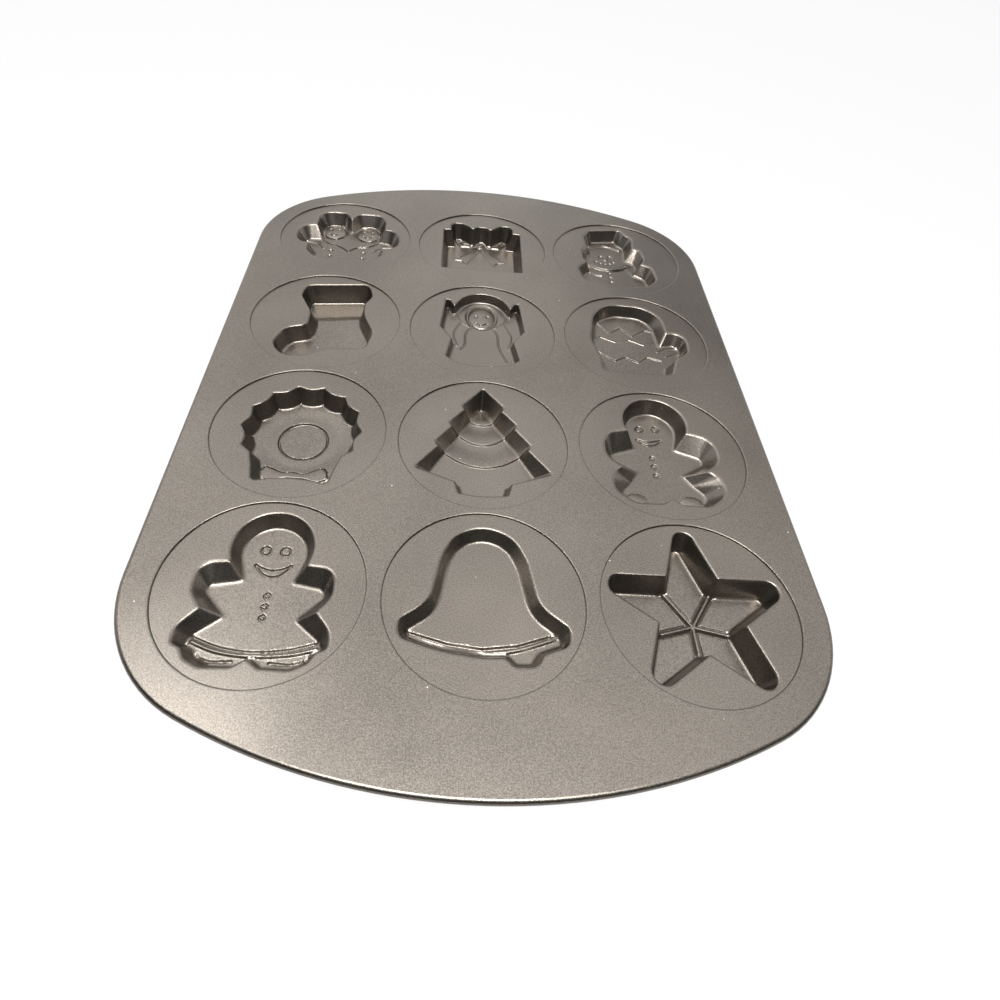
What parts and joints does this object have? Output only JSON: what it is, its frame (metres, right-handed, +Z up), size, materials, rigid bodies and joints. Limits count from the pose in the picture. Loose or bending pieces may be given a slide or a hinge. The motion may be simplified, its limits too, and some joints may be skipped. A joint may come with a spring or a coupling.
{
  "type": "cookie baking pan",
  "caption": "Dark non-stick steel baking pan with festive cookie-shaped cups, crowned ends and a rolled rim.",
  "frame": {"origin": "on the table, under the middle of the pan's outline", "axes": "+X across the pan towards the star, man, mitten and snowman cups, +Y along the pan from the wide near land to the far end, +Z up, out of the cups"},
  "size_m": [0.2782, 0.3956, 0.0129],
  "materials": {
    "nonstick_coating": "satin dark grey non-stick coating with a fine sandy speckle",
    "wire_steel": "bare drawn steel wire"
  },
  "bodies": {
    "root": {"deck": "nonstick_coating", "rolled_rim": "nonstick_coating", "rim_wire": "wire_steel", "cup_couple": "nonstick_coating", "cup_gift": "nonstick_coating", "cup_snowman": "nonstick_coating", "cup_stocking": "nonstick_coating", "cup_angel": "nonstick_coating", "cup_mitten": "nonstick_coating", "cup_wreath": "nonstick_coating", "cup_tree": "nonstick_coating", "cup_gingerbread_man": "nonstick_coating", "cup_gingerbread_girl": "nonstick_coating", "cup_bell": "nonstick_coating", "cup_star": "nonstick_coating"}
  },
  "joints": []
}
